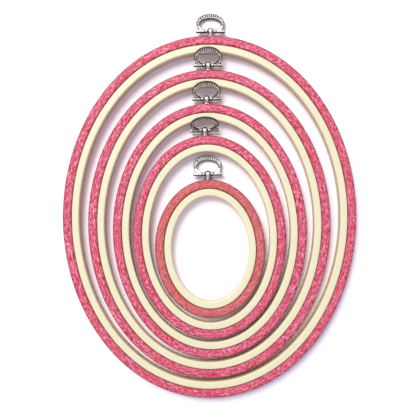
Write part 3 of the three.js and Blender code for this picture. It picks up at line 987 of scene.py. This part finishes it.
def arch_relief(place, from_inner, width):
    """Height of the face in metres, below 0 in the hollows, and how dark it is, 0 to 1: tarnish in
    the hollows and painted shade at the edges of the rims.

    Grooves and moats are bell curves exp(-(d/w)²), and a stud is the dome sqrt(1 - (d/r)²)."""
    from_edge = np.minimum(from_inner, width - from_inner)
    angle = np.degrees(np.arctan2(place[..., 0], place[..., 1] - BAIL_SHOULDER))
    field = smooth_step(from_edge, RIM_WIDTH, RIM_WIDTH + 0.15 * MM)
    arched = 1 - smooth_step(np.abs(angle), *FIELD_END)
    groove = np.exp(-((from_edge - RIM_WIDTH - GROOVE_PLACE) / GROOVE_WIDTH) ** 2) * arched
    bead, row = bead_row(angle, from_inner, width)
    gaps = (1 - bead) * row * field
    to_stud = np.hypot(np.abs(place[..., 0]) - STUD_PLACE[0], place[..., 1] - STUD_PLACE[1])
    dome = np.sqrt(np.clip(1 - (to_stud / STUD_RADIUS) ** 2, 0, 1))
    moat = np.exp(-((to_stud - STUD_RADIUS - 0.15 * MM) / (0.3 * MM)) ** 2)
    height = -FIELD_DEPTH * field * arched - GROOVE_DEPTH * np.maximum(gaps, groove)
    height += BEAD_HEIGHT * bead * row
    height = np.where(dome > 0, STUD_HEIGHT * dome - FIELD_DEPTH * arched, height)
    # Painted shade along the rounded edges of the rims.
    rim_edge_shade = 1 - smooth_step(from_edge, 0.3 * MM, 0.6 * MM)
    black = np.maximum.reduce([0.9 * groove, gaps, 0.95 * moat, 0.95 * rim_edge_shade])
    return height, np.clip(black, 0, 1)


print("the grooves are", round((FIELD_DEPTH + GROOVE_DEPTH) / MM, 2), "mm deep")

# %% The section of the arch
BAIL_THICKNESS = 1.8 * MM
FACE_POINTS = 26
EDGE_ROUND = 0.32 * MM
EDGE_POINTS = 5


def arch_section(width):
    """One turn round the metal for arches of the given widths: distance from the inner edge and
    height, on the face, round the outer edge, on the back and round the inner edge. Edges are
    quarter circles."""
    corner = np.radians(np.linspace(0, 90, EDGE_POINTS))
    out, down = EDGE_ROUND * np.sin(corner), EDGE_ROUND * (1 - np.cos(corner))
    top = BAIL_THICKNESS / 2
    column = np.asarray(width)[:, None]
    face = EDGE_ROUND + (column - 2 * EDGE_ROUND) * np.linspace(0, 1, FACE_POINTS)[None]
    outer = column - EDGE_ROUND + out[None, 1:]
    inner = EDGE_ROUND - out[None, 1:] + 0 * column
    distance = np.concatenate(
        [face, outer, outer[:, ::-1], face[:, ::-1], inner, inner[:, ::-1]], 1)
    flat = np.full(FACE_POINTS, top)
    edge = top - down[1:]
    height = np.concatenate([flat, edge, -edge[::-1], -flat, -edge, edge[::-1]])
    return distance, np.broadcast_to(height, distance.shape)


print("one turn round the arch has", 2 * FACE_POINTS + 4 * (EDGE_POINTS - 1), "points")

# %% The arch
EDGE_SHADE = 0.92


def make_arch(hoop):
    """The strip between the two curves, with the relief on both faces, and painted shade on its
    rounded edges.
    """
    across = outer_curve - inner_curve
    width = np.linalg.norm(across, axis=1)
    distance, height = arch_section(width)
    place = inner_curve[:, None] + across[:, None] * (distance / width[:, None])[..., None]
    relief, sunk = arch_relief(place, distance, width[:, None])
    on_face = np.abs(height) > BAIL_THICKNESS / 2 - EDGE_ROUND / 2
    raised = height + np.sign(height) * relief * on_face
    points = np.concatenate([place, raised[..., None]], -1)
    # Painted shade on the rounded edges all round the arch.
    sunk = np.maximum(sunk * on_face, EDGE_SHADE * (~on_face))
    return {
        "points": place_on_hinge(points[:, ::-1], hoop, hoop["rest"]),
        "values": {"sunk": sunk[:, ::-1]},
    }


print("an arch has", make_arch(hoops[1])["points"].shape[:2], "points")

# %% The bar, and the bails
NECK_RADIUS = 0.95 * MM
COLLAR_RADIUS = 1.6 * MM
COLLAR_LENGTH = 2.1 * MM
PIN_GAP = 0.3 * MM
BAR_RADIUS = 1.3 * MM
BAR_HALF_LENGTH = 10.9 * MM


def make_bar(hoop):
    """The turned bar: a thin neck in the eye, a collar at each side of it, and plain ends. It is
    dark at its joints and at its ends, and painted shade darkens the half that faces the band."""
    neck_end = EYE_WIDTH / 2 + PIN_GAP
    collar_end = neck_end + COLLAR_LENGTH
    right = [
        (NECK_RADIUS, neck_end),
        (COLLAR_RADIUS, neck_end + 0.1 * MM),
        (COLLAR_RADIUS, collar_end - 0.1 * MM),
        (BAR_RADIUS - 0.15 * MM, collar_end),
        (BAR_RADIUS, collar_end + 0.4 * MM),
        (BAR_RADIUS, BAR_HALF_LENGTH),
        (HAIR, BAR_HALF_LENGTH),
    ]
    left = [(radius, -place) for radius, place in right[::-1]]
    profile = softened(left + right, 0.35 * MM)
    points = turned(profile, "x")
    place = np.abs(profile[:, 1])
    joints_dark = np.exp(-((place - collar_end) / (0.4 * MM)) ** 2)
    joints_dark += np.exp(-((place - neck_end) / (0.35 * MM)) ** 2)
    joints_dark += smooth_step(place, BAR_HALF_LENGTH - 0.5 * MM, BAR_HALF_LENGTH)
    y, z = points[..., 1], points[..., 2]
    # Painted shade on the half of the bar that faces the band.
    to_band = z * np.sin(hoop["rest"]) - y * np.cos(hoop["rest"])
    to_band = to_band / np.maximum(np.hypot(y, z), HAIR / 10)
    sunk = np.maximum(joints_dark[:, None], 0.95 * smooth_step(to_band, 0.25, 0.6))
    return {
        "points": place_on_hinge(points, hoop, hoop["rest"]),
        "values": {"sunk": np.clip(sunk, 0, 1)},
    }


for number, hoop in hoops.items():
    bail = build_piece(
        f"hoop{number}_bail", [make_arch(hoop), make_bar(hoop)], f"hoop{number}_bail",
        f"hoop{number}_hanger_bail", cast_metal,
    )
print("bails of", triangle_count(bail), "triangles")

# %% [markdown]
# ## The hidden washers
#
# The washers sit inside the bands, under the closed rivet heads. Their frame solids are already
# right, so they stay and only get their metal.

# %% Dress the washers
for number in HOOPS:
    washer = frame["nodes"][f"hoop{number}_post_washer"]
    washer.data.materials.clear()
    washer.data.materials.append(plain_metal)
print("washers dressed:", len(HOOPS))

# %% [markdown]
# ## The table
#
# The hoops lie on white paper: a plain floor that keeps the shadows. Its material is brighter for
# the rays that the eye sees than for the light that bounces off it, so the ground reads as white.

# %% The floor
PAPER_SEEN = (1.26, 1.19, 1.27, 1)
PAPER_FELT = (0.72, 0.7, 0.72, 1)
FLOOR_HALF = 2.5


def seen_rays(tree):
    """1 for rays that carry what is seen, directly or in a reflection, and 0 for bounced light:
    the largest of the camera, glossy and transmission flags."""
    rays = add_node(tree, "ShaderNodeLightPath").outputs
    sockets = {0: rays["Is Glossy Ray"], 1: rays["Is Transmission Ray"]}
    mirror = add_node(tree, "ShaderNodeMath", sockets, operation="MAXIMUM")
    sockets = {0: rays["Is Camera Ray"], 1: mirror.outputs["Value"]}
    return add_node(tree, "ShaderNodeMath", sockets, operation="MAXIMUM").outputs["Value"]


def white_paper():
    """White paper: a plain matt surface, brighter to the eye than as a source of light."""
    material, tree, _ = start_material("white_paper")
    tree.nodes.clear()
    seen = add_node(tree, "ShaderNodeBsdfDiffuse", {"Color": PAPER_SEEN}).outputs["BSDF"]
    felt = add_node(tree, "ShaderNodeBsdfDiffuse", {"Color": PAPER_FELT}).outputs["BSDF"]
    paper = add_node(tree, "ShaderNodeMixShader", {"Fac": seen_rays(tree), 1: felt, 2: seen})
    add_node(tree, "ShaderNodeOutputMaterial", {"Surface": paper.outputs["Shader"]})
    return material


floor_mesh = bpy.data.meshes.new("table_paper")
corners = FLOOR_HALF * np.array([(-1, -1, 0), (1, -1, 0), (1, 1, 0), (-1, 1, 0)])
floor_mesh.from_pydata(corners.tolist(), [], [(0, 1, 2, 3)])
floor_mesh.materials.append(white_paper())
floor = bpy.data.objects.new("table_paper", floor_mesh)
bpy.context.scene.collection.objects.link(floor)
print("floor", 2 * FLOOR_HALF, "m")

# %% [markdown]
# ## The light
#
# One large square lamp stands at the upper left, as a window would, and throws soft shadows to the
# lower right. A cool, weak sky fills them. The sky is white where the eye or a reflection sees it.

# %% The light
SKY_COLOUR = (0.82, 0.84, 1.0, 1)
SKY_STRENGTH = 0.5
WINDOW_PLACE = (-0.75, 1.2, 2.4)
WINDOW_SIZE = 1.2
WINDOW_WATTS = 54.0
WINDOW_COLOUR = (1.0, 0.985, 0.95)

scene = bpy.context.scene
scene.world = bpy.data.worlds.new("studio")
scene.world.use_nodes = True
tree = scene.world.node_tree
sky = tree.nodes["Background"]
fill_sockets(tree, sky, {"Color": SKY_COLOUR, "Strength": SKY_STRENGTH})
white = add_node(tree, "ShaderNodeBackground", {"Color": (1, 1, 1, 1), "Strength": 1.0})
sockets = {"Fac": seen_rays(tree), 1: sky.outputs["Background"], 2: white.outputs["Background"]}
room = add_node(tree, "ShaderNodeMixShader", sockets)
fill_sockets(tree, tree.nodes["World Output"], {"Surface": room.outputs["Shader"]})

light = bpy.data.lights.new("window", "AREA")
light.shape = "SQUARE"
light.size = WINDOW_SIZE
light.energy = WINDOW_WATTS
light.color = WINDOW_COLOUR
lamp = bpy.data.objects.new("window", light)
scene.collection.objects.link(lamp)
lamp.location = WINDOW_PLACE
to_middle = mathutils.Vector(-np.array(WINDOW_PLACE))
lamp.rotation_euler = to_middle.to_track_quat("-Z", "Y").to_euler()
print("lamp", lamp.name, "of", light.energy, "W and a sky of", SKY_STRENGTH)

# %% [markdown]
# ## The camera
#
# The camera looks straight down, as a new camera does. It stands a little way up the set from the
# middle of the largest hoop, close enough that the walls of the rings show as thin strips.

# %% The camera
IMAGE_SIZE = 420
FOCAL_PIXELS = 555.0
SENSOR = 36.0
CAMERA_HEIGHT = 0.426
CAMERA_FROM_LARGEST = np.array([0.3, 5.1]) * MM

camera_data = bpy.data.cameras.new("camera")
camera_data.sensor_width = SENSOR
camera_data.lens = FOCAL_PIXELS / IMAGE_SIZE * SENSOR
camera = bpy.data.objects.new("camera", camera_data)
scene.collection.objects.link(camera)
camera.location = (*(hoops[1]["middle"][:2] + CAMERA_FROM_LARGEST), CAMERA_HEIGHT)
scene.camera = camera
scene.view_settings.view_transform = "Standard"
print("camera at", [round(v, 4) for v in camera.location], "lens", round(camera_data.lens, 2))

# %% [markdown]
# ## Finish
#
# The dressed model must stay within the frame's own box, give or take the height of the grain.

# %% Finish
bpy.context.view_layer.update()
